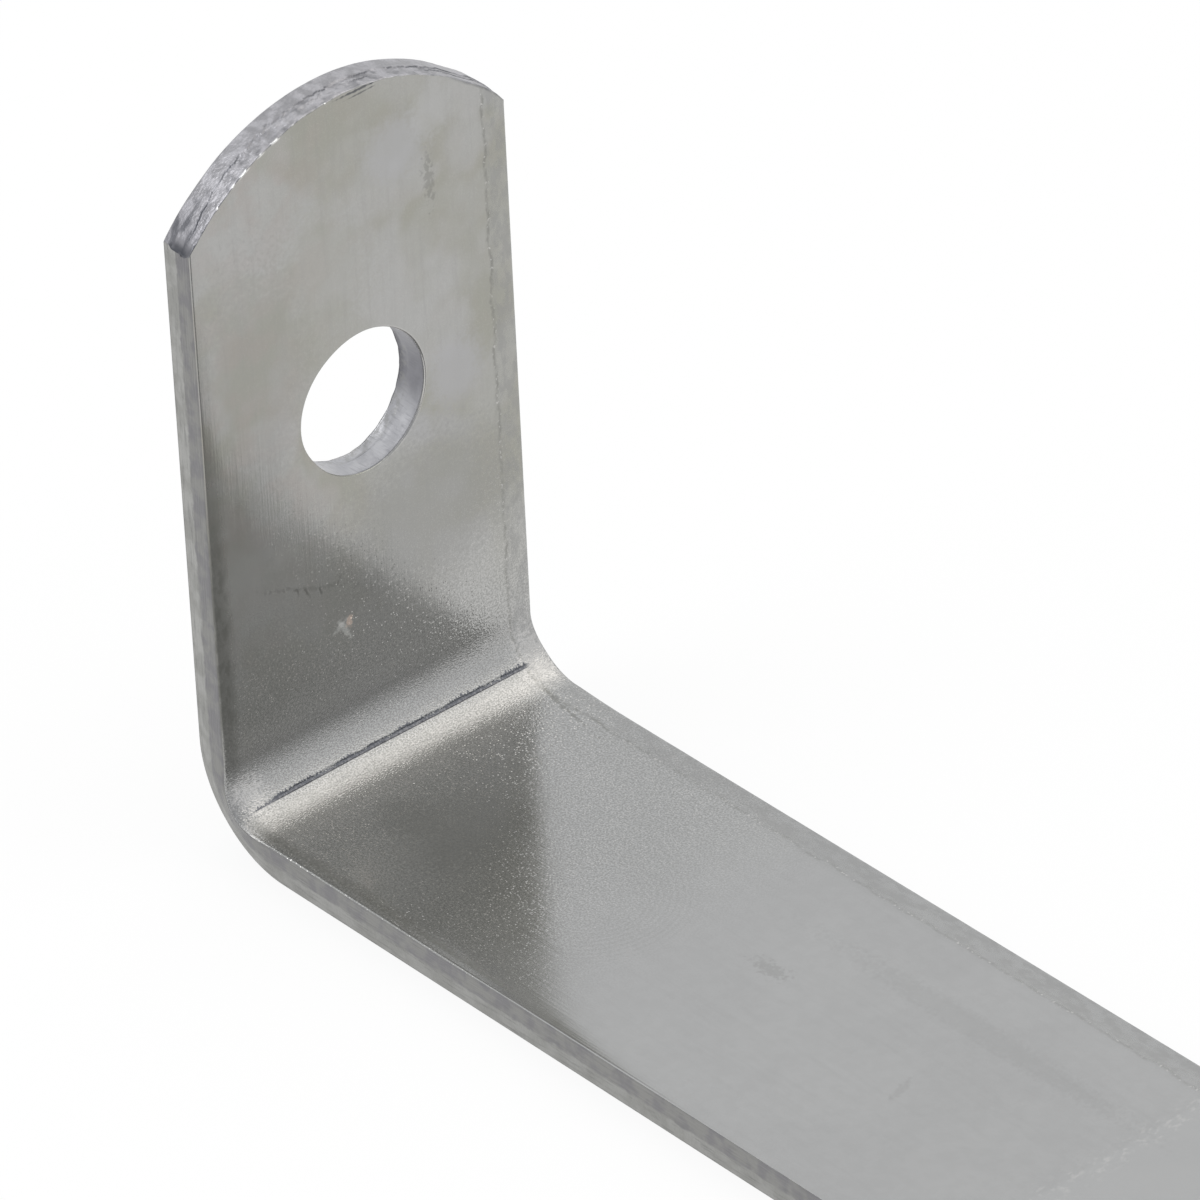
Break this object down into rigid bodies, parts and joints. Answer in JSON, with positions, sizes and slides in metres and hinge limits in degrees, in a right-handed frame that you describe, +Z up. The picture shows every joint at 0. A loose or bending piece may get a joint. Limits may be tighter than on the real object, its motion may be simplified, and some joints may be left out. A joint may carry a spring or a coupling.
{
  "type": "frame cramp",
  "caption": "L-shaped stainless steel strip with a long leg for a mortar bed and a short round-tipped upstand with a screw hole.",
  "frame": {"origin": "centre of the long leg's underside, on the plane that the part rests on", "axes": "+X from the upstand along the long leg, +Y across the strip, +Z up the upstand"},
  "size_m": [0.15, 0.0256, 0.0495],
  "materials": {
    "stainless_steel": "mill-finish stainless strip with slit edges, a sheared tip and handling marks"
  },
  "bodies": {
    "root": {"frame_cramp": "stainless_steel"}
  },
  "joints": []
}
